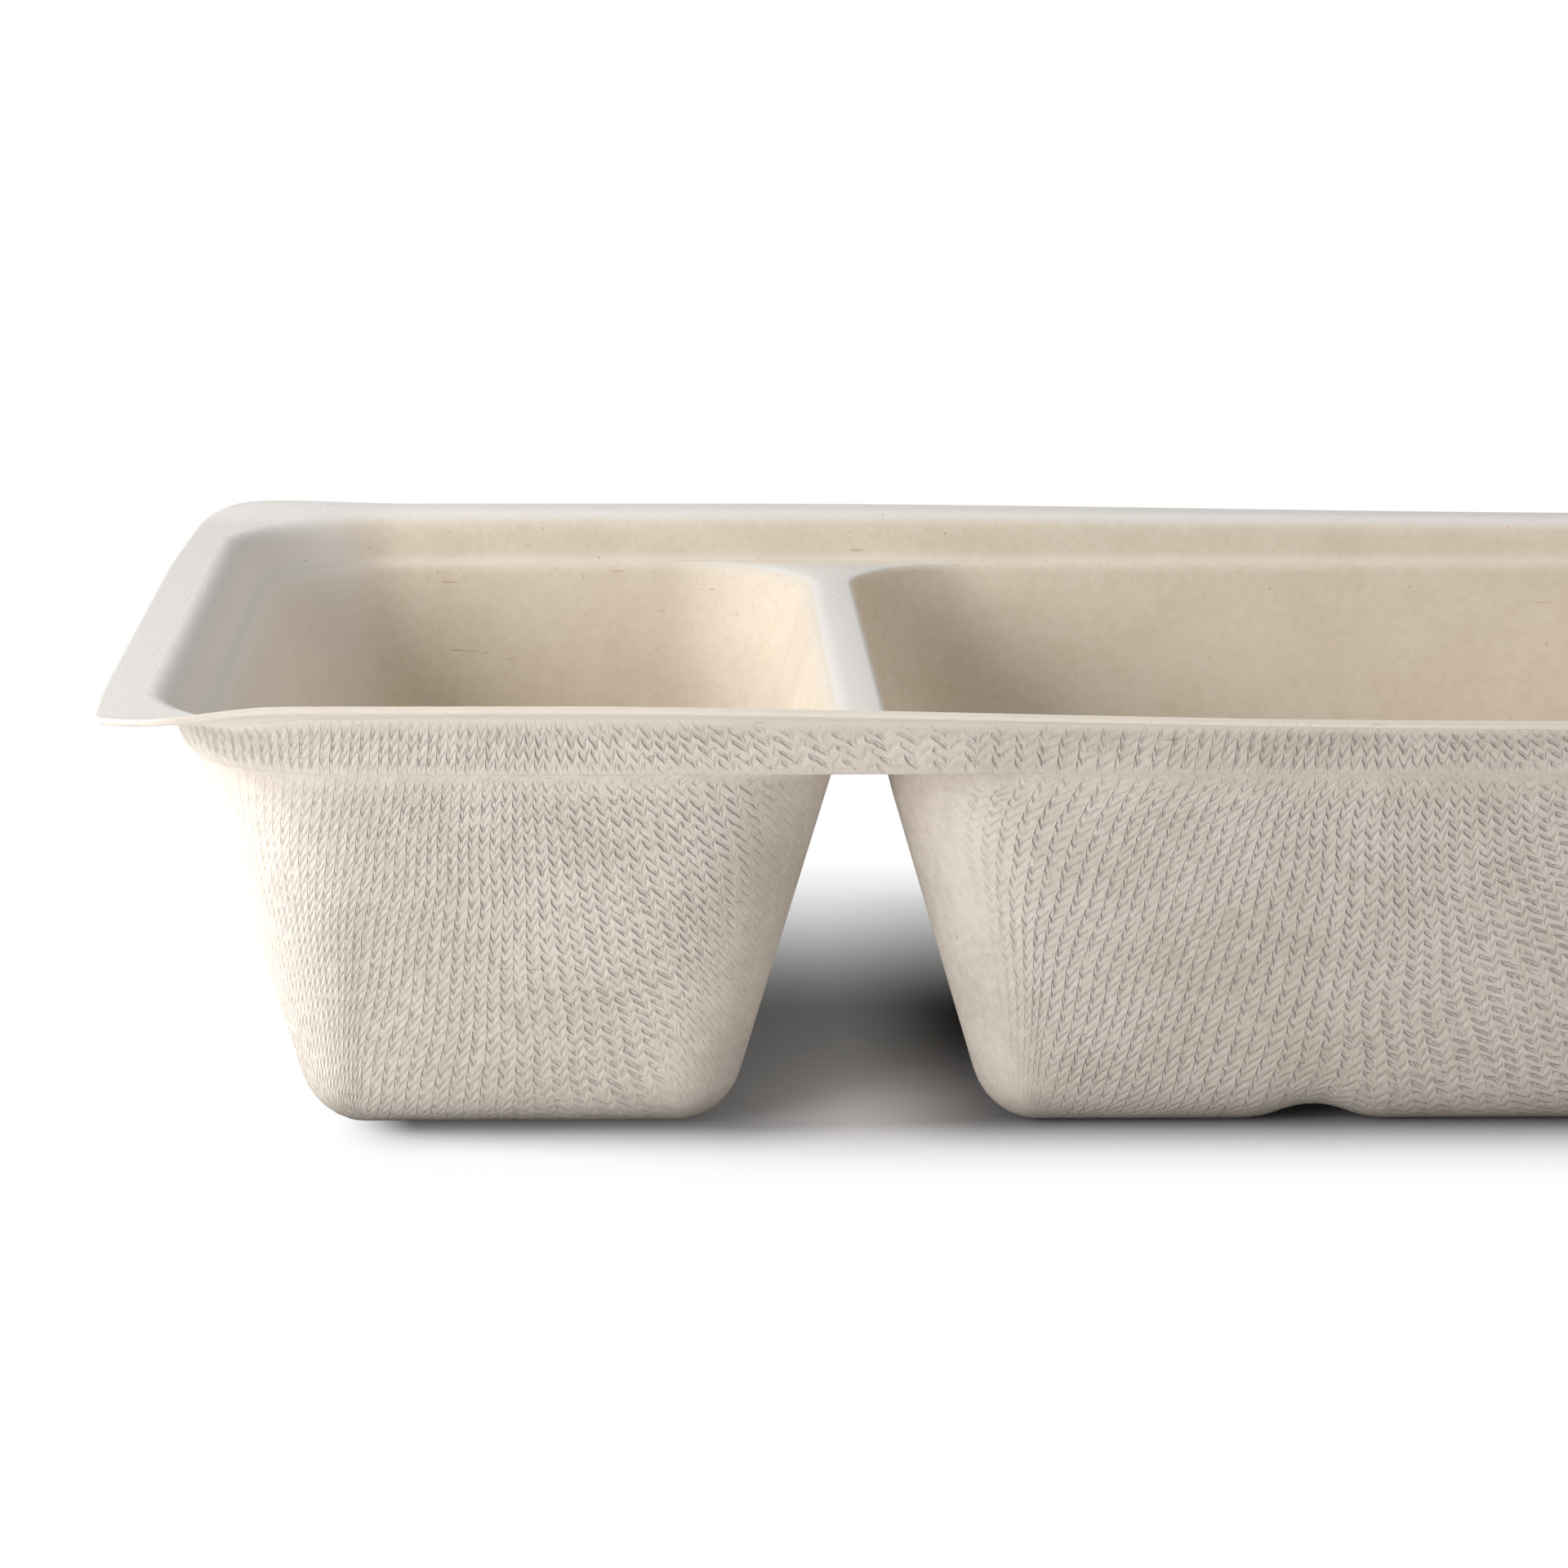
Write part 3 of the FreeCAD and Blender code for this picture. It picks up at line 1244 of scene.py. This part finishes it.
@dataclass(frozen=True)
class PressedFibre:
    """Pressed bagasse: soft mottling, a felt of fine fibres and a few brown flecks."""

    name: str
    side: Side
    wall: Colour
    wall_dark: Colour
    # painted light: the lighter colour painted on upward faces and on the inner end walls
    upper: Colour
    mottle: Clouds = Clouds(90.0, 4.0, 0.6)
    mottle_share: float = 0.7
    grain: Clouds = Clouds(900.0, 2.0, 0.6)
    grain_share: float = 0.45
    mottle_zone: Zone = (0.35, 0.85)
    fleck: Colour = (0.30, 0.20, 0.12)
    fleck_clouds: Clouds = Clouds(1500.0, 1.0, 0.4)
    fleck_lays: tuple[Lay, ...] = (Lay((0.3, 0.5, 0.9), (1.0, 0.14, 1.0)),
                                   Lay((0.9, 1.3, 2.3), (0.14, 1.0, 1.0)))
    fleck_zone: Zone = (0.765, 0.82)
    fleck_share: float = 0.4
    felt: float = 0.035
    felt_clouds: Clouds = Clouds(2200.0, 3.0, 0.6)
    felt_lays: tuple[Lay, Lay] = (Lay((0.0, 0.4, 0.7), (1.0, 0.55, 1.0)),
                                  Lay((0.6, 0.0, 2.0), (0.55, 1.0, 0.8)))
    lumps: Clouds = Clouds(260.0, 2.0)
    lump_height: float = 1.6
    roughness: float = 0.9
    specular: float = 0.25

    def material(self) -> bpy.types.Material:
        """Makes the material.

        Returns:
            The material.
        """
        material = bpy.data.materials.new(self.name)
        graph = Graph(material)
        place = graph.node("ShaderNodeTexCoord").outputs["Object"]
        shader = graph.node("ShaderNodeBsdfPrincipled")
        shader.inputs["Roughness"].default_value = self.roughness
        shader.inputs["Specular IOR Level"].default_value = self.specular
        colour = self.colour(graph, place)
        height = self.felt_height(graph, place)
        if self.side is Side.OUTSIDE:
            imprint = MeshImprint()
            groove = imprint.groove(graph)
            height = graph.math("MULTIPLY_ADD", groove, -imprint.depth, height)
            # painted shade: the grooves' colour is darkened, as shade would fall in them
            colour = graph.mixed(graph.math("MULTIPLY", groove, imprint.shade), colour,
                                 self.wall_dark)
        graph.link(colour, shader.inputs["Base Color"])
        bump = graph.node("ShaderNodeBump")
        bump.inputs["Strength"].default_value = 1.0
        bump.inputs["Distance"].default_value = MM
        graph.link(height, bump.inputs["Height"])
        graph.link(bump.outputs[0], shader.inputs["Normal"])
        graph.finish(shader.outputs[0])
        return material

    def colour(self, graph: Graph, place: Socket) -> Socket:
        """Mixes the wall's colour, its mottling, painted light on upward faces and end walls, and
        flecks.

        Args:
            graph: The node tree to add to.
            place: The coordinates of the tray.

        Returns:
            The colour.
        """
        mottle = graph.math(
            "ADD", graph.math("MULTIPLY", graph.noise(place, self.mottle), self.mottle_share),
            graph.math("MULTIPLY", graph.noise(place, self.grain), self.grain_share))
        colour = graph.mixed(graph.span(mottle, *self.mottle_zone), self.wall, self.wall_dark)
        # painted light: lighter colour on upward faces, and a painted highlight on the ledge
        colour = graph.mixed(graph.attribute("upper"), colour, self.upper)
        if self.side is Side.INSIDE:
            # painted light on the inner end walls, lighter towards the top
            colour = graph.mixed(graph.attribute("end"), colour, self.upper)
        for lay in self.fleck_lays:
            fibres = graph.noise(graph.spread(place, lay), self.fleck_clouds)
            shown = graph.span(fibres, *self.fleck_zone, 0.0, self.fleck_share)
            colour = graph.mixed(shown, colour, self.fleck)
        return colour

    def felt_height(self, graph: Graph, place: Socket) -> Socket:
        """Builds the relief of the fine felt.

        Args:
            graph: The node tree to add to.
            place: The coordinates of the tray.

        Returns:
            The height in millimetres.
        """
        fibres = graph.math("ADD", *(graph.noise(graph.spread(place, lay), self.felt_clouds)
                                     for lay in self.felt_lays))
        fine = graph.math("MULTIPLY", fibres, self.felt)
        lumps = graph.math("MULTIPLY", graph.noise(place, self.lumps),
                           self.felt * self.lump_height)
        return graph.math("ADD", fine, lumps)


@dataclass(frozen=True)
class Sway:
    """A soft irregular shift of a pattern: how fine it is, how far it goes and its turn."""

    scale: float
    amount: float
    turn: float

    def applied(self, graph: Graph, value: Socket, wall: Socket) -> Socket:
        """Adds the shift to a length.

        Args:
            graph: The node tree to add to.
            value: The length.
            wall: The lengths along and down the wall, on which the shift lies.

        Returns:
            The shifted length.
        """
        turned = graph.spread(wall, Lay((0.0, 0.0, self.turn), (1.0, 1.0, 1.0)))
        return graph.math("MULTIPLY_ADD", graph.noise(turned, Clouds(self.scale, 1.0)),
                          self.amount, value)


@dataclass(frozen=True)
class MeshImprint:
    """The zigzag grooves that the forming screen leaves, in millimetres along the wall.

    The screen is stretched over the mould, so its zigzags are narrow in some places and wide
    in others, and lean to one side on the way from the middle of a compartment to its corner.
    A zigzag is a period wide and an amplitude high, and the rows lie a row apart. The strengths
    say how much of a groove is left at a zigzag's foot and crown, on its rising leg and where the
    screen is worn.
    """

    period: float = 1.5
    row: float = 1.22
    amplitude: float = 1.03
    taller: float = 0.1
    lean: float = 0.22
    squeeze: tuple[float, float] = (0.23, 0.17)
    stretch_length: float = 86.0
    narrow_at: float = -79.0
    upright_at: float = -58.0
    fan: float = 0.25
    fan_middle: float = 18.0
    fall: float = 0.2
    fall_length: float = 170.0
    fall_at: float = -16.0
    sways_across: tuple[Sway, ...] = (Sway(0.06, 3.0, 0.4), Sway(1.1, 0.42, 0.9))
    sways_down: tuple[Sway, ...] = (Sway(0.05, 3.0, 1.7), Sway(1.3, 0.42, 2.3))
    half_line: float = 0.34
    rising_leg: float = 0.38
    foot_zone: Zone = (0.0, 0.2)
    foot_strength: float = 0.2
    crown_zone: Zone = (0.8, 1.0)
    crown_strength: float = 0.35
    worn: Clouds = Clouds(0.8, 2.0)
    worn_zone: Zone = (0.36, 0.56)
    worn_strength: float = 0.4
    depth: float = 0.3
    # how far the grooves' colour is darkened, as painted shade
    shade: float = 0.25

    def wave(self, graph: Graph, along: Socket, function: str, middle: float,
             length: float) -> Socket:
        """Adds a wave along the wall.

        Args:
            graph: The node tree to add to.
            along: The length along the wall.
            function: SINE or COSINE.
            middle: Where the wave's turn is 0.
            length: The length of the wave.

        Returns:
            The height of the wave, from -1 to 1.
        """
        turn = graph.math("MULTIPLY", graph.math("SUBTRACT", along, middle), math.tau / length)
        return graph.math(function, turn)

    def squeezed(self, graph: Graph, along: Socket) -> tuple[Socket, Socket]:
        """Finds how the stretching of the screen crowds its zigzags.

        Args:
            graph: The node tree to add to.
            along: The length along the wall.

        Returns:
            The length along the screen and how many of its lengths go into one of the wall's.
        """
        shift: Value = 0.0
        density: Value = 1.0
        for share, length in zip(self.squeeze, (self.stretch_length, 2 * self.stretch_length)):
            shift = graph.math("MULTIPLY_ADD", self.wave(
                graph, along, "SINE", self.narrow_at, length), share * length / math.tau, shift)
            density = graph.math("MULTIPLY_ADD", self.wave(
                graph, along, "COSINE", self.narrow_at, length), share, density)
        return graph.math("ADD", along, shift), density

    def across_screen(self, graph: Graph, wall: Socket, length: Socket, down: Socket,
                      side: Socket) -> Socket:
        """Fans the zigzags out from the middle of a compartment and makes them uneven.

        Args:
            graph: The node tree to add to.
            wall: The lengths along and down the wall.
            length: The length along the screen.
            down: The length down the wall.
            side: From -1 to 1, on which side of a compartment's middle a place lies.

        Returns:
            The length across the zigzags.
        """
        fanned = graph.math("MULTIPLY", graph.math("MULTIPLY", side, -self.fan),
                            graph.math("SUBTRACT", down, self.fan_middle))
        across = graph.math("ADD", length, fanned)
        for sway in self.sways_across:
            across = sway.applied(graph, across, wall)
        return across

    def down_screen(self, graph: Graph, wall: Socket, along: Socket, down: Socket) -> Socket:
        """Lets the rows rise and fall along the wall and makes them uneven.

        Args:
            graph: The node tree to add to.
            wall: The lengths along and down the wall.
            along: The length along the wall.
            down: The length down the wall.

        Returns:
            The length down the rows.
        """
        falling = graph.math("MULTIPLY", self.wave(
            graph, along, "SINE", self.fall_at, self.fall_length),
            -self.fall * self.fall_length / math.tau)
        rows = graph.math("ADD", down, falling)
        for sway in self.sways_down:
            rows = sway.applied(graph, rows, wall)
        return rows

    def zigzag(self, graph: Graph, across: Socket,
               side: Socket) -> tuple[Socket, Socket, Socket]:
        """Folds the length across the screen into zigzags that lean to one side.

        Args:
            graph: The node tree to add to.
            across: The length across the zigzags.
            side: From -1 to 1, on which side of a compartment's middle a place lies.

        Returns:
            The height of the zigzag from 0 to 1, whether a place is on its rising leg, and the
            share of the zigzag's width that the leg takes.
        """
        saw = graph.math("FRACT", graph.math("DIVIDE", across, self.period))
        kink = graph.math("MULTIPLY_ADD", side, -self.lean, 0.5)
        rest = graph.math("SUBTRACT", 1.0, kink)
        rising = graph.math("LESS_THAN", saw, kink)
        leg = graph.math("ADD", graph.math("MULTIPLY", rising, kink), graph.math(
            "MULTIPLY", graph.math("SUBTRACT", 1.0, rising), rest))
        height = graph.math("MINIMUM", graph.math("DIVIDE", saw, kink), graph.math(
            "DIVIDE", graph.math("SUBTRACT", 1.0, saw), rest))
        return height, rising, leg

    def groove(self, graph: Graph) -> Socket:
        """Builds the pattern.

        Args:
            graph: The node tree to add to.

        Returns:
            How deep a place lies in a groove, from 0 to 1, faded where the screen pressed less.
        """
        wall = graph.node("ShaderNodeUVMap", uv_map="wall").outputs[0]
        parts = graph.node("ShaderNodeSeparateXYZ")
        graph.link(wall, parts.inputs[0])
        along, down = parts.outputs["X"], parts.outputs["Y"]
        side = self.wave(graph, along, "SINE", self.upright_at, self.stretch_length)
        swell = self.wave(graph, along, "COSINE", self.narrow_at, self.stretch_length)
        length, density = self.squeezed(graph, along)
        across = self.across_screen(graph, wall, length, down, side)
        rows = self.down_screen(graph, wall, along, down)
        zigzag, rising, leg = self.zigzag(graph, across, side)
        height = graph.math("MULTIPLY", graph.math("MULTIPLY_ADD", swell, self.taller, 1.0),
                            self.amplitude)
        phase = graph.math("DIVIDE", graph.math("MULTIPLY_ADD", zigzag, height, rows), self.row)
        off = graph.math("ABSOLUTE", graph.math("SUBTRACT", graph.math("FRACT", phase), 0.5))
        width = graph.math("MULTIPLY", graph.math("DIVIDE", self.period, density), leg)
        slope = graph.math("DIVIDE", height, width)
        steepness = graph.math("SQRT", graph.math("MULTIPLY_ADD", slope, slope, 1.0))
        away = graph.math("DIVIDE", graph.math("MULTIPLY", off, self.row), steepness)
        line = graph.span(away, 0.0, self.half_line, 1.0, 0.0)
        for strength in (
                graph.span(zigzag, *self.foot_zone, self.foot_strength, 1.0),
                graph.span(zigzag, *self.crown_zone, 1.0, self.crown_strength),
                graph.math("MULTIPLY_ADD", rising, self.rising_leg - 1.0, 1.0),
                graph.span(graph.noise(wall, self.worn), *self.worn_zone, self.worn_strength, 1.0),
                graph.attribute("imprint")):
            line = graph.math("MULTIPLY", line, strength)
        return line


@dataclass(frozen=True)
class SoftLamp:
    """A square lamp that points at the tray; its places and its size are in metres."""

    name: str
    place: Place
    size: float
    power: float
    aim: Place = (-0.011, 0.0, 0.03)

    def build(self) -> None:
        """Makes the lamp."""
        data = bpy.data.lights.new(self.name, "AREA")
        data.shape = "SQUARE"
        data.size = self.size
        data.energy = self.power
        lamp = placed(self.name, data)
        place = Vector(self.place)
        turn = (Vector(self.aim) - place).to_track_quat("-Z", "Y")
        lamp.matrix_world = Matrix.Translation(place) @ turn.to_matrix().to_4x4()


@dataclass(frozen=True)
class Base:
    """A rectangle on the floor round a part of the tray, in metres."""

    middle_x: float
    half_x: float
    half_y: float
    steepness: float = 1.0


@dataclass(frozen=True)
class Studio:
    """The white floor, the soft lights and the camera.

    The camera's place, lens and sensor are in millimetres and its turns in radians. The zones and
    the other lengths are in metres.
    """

    camera_place: Place = (-47.155, -594.196, 141.373)
    heading: float = -0.0295
    dip: float = 0.1929
    roll: float = 0.0041
    lens: float = 124.8706875
    sensor: float = 36.0
    clip: tuple[float, float] = (0.01, 50.0)
    floor_half: float = 6.0
    ground: Base = Base(middle_x=0.0045, half_x=0.0725, half_y=0.050, steepness=3.0)
    small_base: Base = Base(middle_x=-0.058, half_x=0.0197, half_y=0.0515)
    large_base: Base = Base(middle_x=0.0345, half_x=0.0432, half_y=0.0515)
    shaded: Colour = (0.88, 0.89, 0.92)
    # colour of the painted contact shadow next to the bases
    painted_contact_shadow: Colour = (0.34, 0.34, 0.35)
    painted_shadow_reach: float = 0.016
    shade_zone: Zone = (-0.001, 0.029)
    behind_zone: Zone = (-0.006, 0.1)
    # share of white painted into the shade, away from the large base, as painted light
    painted_shadow_lift: float = 0.07
    sky: float = 0.215
    lamps: tuple[SoftLamp, ...] = (
        SoftLamp("key", (-0.611, -0.05, 0.3), size=0.32, power=3.95),
        SoftLamp("front_side", (-0.411, -0.45, 0.2), size=0.3, power=1.6),
        SoftLamp("far_side", (0.489, -0.1, 0.5), size=0.5, power=1.45),
    )

    def camera(self) -> None:
        """Makes the camera and gives it to the scene."""
        data = bpy.data.cameras.new("camera")
        data.lens = self.lens
        data.sensor_width = self.sensor
        data.clip_start, data.clip_end = self.clip
        camera = placed("camera", data)
        ahead = Vector((-math.sin(self.heading) * math.cos(self.dip),
                        math.cos(self.heading) * math.cos(self.dip), -math.sin(self.dip)))
        right = Vector((math.cos(self.heading), math.sin(self.heading), 0.0))
        upward = right.cross(ahead)
        turned_right = math.cos(self.roll) * right + math.sin(self.roll) * upward
        turned_up = -math.sin(self.roll) * right + math.cos(self.roll) * upward
        turn = Matrix((turned_right, turned_up, -ahead)).transposed().to_4x4()
        camera.matrix_world = Matrix.Translation(Vector(self.camera_place) * MM) @ turn
        bpy.context.scene.camera = camera

    def floor(self) -> None:
        """Makes the floor, which is plain white to the camera away from the tray."""
        mesh = bmesh.new()
        bmesh.ops.create_grid(mesh, x_segments=1, y_segments=1, size=self.floor_half)
        floor = placed("floor", mesh_data("floor", mesh))
        floor.data.materials.append(self.floor_material())

    def beyond(self, graph: Graph, place: bpy.types.Node, base: Base) -> Socket:
        """Finds how far outside a rectangle a place on the floor lies.

        Args:
            graph: The node tree to add to.
            place: The node with the coordinates of the place.
            base: The rectangle.

        Returns:
            The distance, which is 0 inside.
        """
        from_middle = graph.math("ABSOLUTE", graph.math("SUBTRACT", place.outputs["X"],
                                                        base.middle_x))
        over_x = graph.math("MAXIMUM", graph.math("SUBTRACT", from_middle, base.half_x), 0.0)
        over_x = graph.math("MULTIPLY", over_x, base.steepness)
        over_y = graph.math("MAXIMUM", graph.math("SUBTRACT", graph.math(
            "ABSOLUTE", place.outputs["Y"]), base.half_y), 0.0)
        return graph.math("SQRT", graph.math("ADD", graph.math("POWER", over_x, 2.0),
                                             graph.math("POWER", over_y, 2.0)))

    def floor_material(self) -> bpy.types.Material:
        """Makes the floor's white, which keeps the shade and a painted shadow under and close to
        the tray.

        Returns:
            The material.
        """
        material = bpy.data.materials.new("floor_white")
        graph = Graph(material)
        place = graph.node("ShaderNodeSeparateXYZ")
        graph.link(graph.node("ShaderNodeTexCoord").outputs["Object"], place.inputs[0])
        near = graph.math("MINIMUM", *(self.beyond(graph, place, base)
                                       for base in (self.small_base, self.large_base)))
        shade = graph.node("ShaderNodeBsdfDiffuse")
        # painted shadow: near the bases the floor's own colour darkens, as a contact shadow
        graph.link(graph.mixed(graph.span(near, 0.0, self.painted_shadow_reach),
                               self.painted_contact_shadow, self.shaded), shade.inputs["Color"])
        white = graph.node("ShaderNodeEmission")
        around = graph.span(self.beyond(graph, place, self.ground), *self.shade_zone)
        behind = graph.span(place.outputs["Y"], *self.behind_zone)
        # painted light: in the shade between the compartments a share of white is seen, growing
        # away from the large base
        painted_lift_share = graph.span(self.beyond(graph, place, self.large_base), 0.0,
                              self.painted_shadow_reach)
        lifted = graph.math("MULTIPLY_ADD", painted_lift_share, self.painted_shadow_lift, behind)
        far = graph.math("MINIMUM", graph.math("MAXIMUM", around, lifted), 1.0)
        graph.finish(graph.mixed_shaders(graph.math("MULTIPLY", far, graph.seen_white()),
                                         shade.outputs[0], white.outputs[0]))
        return material

    def world(self) -> None:
        """Makes the soft white sky, which is plain white to the camera."""
        world = bpy.data.worlds.new("studio")
        bpy.context.scene.world = world
        graph = Graph(world)
        sky = graph.node("ShaderNodeBackground")
        sky.inputs["Strength"].default_value = self.sky
        white = graph.node("ShaderNodeBackground")
        for item in (sky, white):
            item.inputs["Color"].default_value = (1.0, 1.0, 1.0, 1.0)
        graph.finish(graph.mixed_shaders(graph.seen_white(), sky.outputs[0], white.outputs[0]))

    def lights(self) -> None:
        """Makes the lamps."""
        for lamp in self.lamps:
            lamp.build()


FINISHES: tuple[PressedFibre, ...] = (
    PressedFibre("fibre_inside", Side.INSIDE, wall=(0.715, 0.63, 0.52),
                 wall_dark=(0.64, 0.55, 0.44), upper=(0.79, 0.76, 0.72)),
    PressedFibre("fibre_outside", Side.OUTSIDE, wall=(0.795, 0.722, 0.637),
                 wall_dark=(0.625, 0.557, 0.475), upper=(0.88, 0.79, 0.69), felt=0.03),
    PressedFibre("fibre_edge", Side.CUT_EDGE, wall=(0.81, 0.735, 0.63),
                 wall_dark=(0.76, 0.68, 0.57), upper=(0.81, 0.735, 0.63)),
)


def main() -> None:
    """Builds the tray, the floor, the lights and the camera."""
    scene = bpy.context.scene
    scene.view_settings.view_transform = "Standard"
    shell = TrayShell()
    tray = shell.build()
    shell.dress(tray, FINISHES)
    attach(tray, "root")
    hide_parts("tray")
    log.info("%s: %d faces", tray.name, len(tray.data.polygons))
    studio = Studio()
    studio.floor()
    studio.world()
    studio.lights()
    studio.camera()


if __name__ == "__main__":
    main()
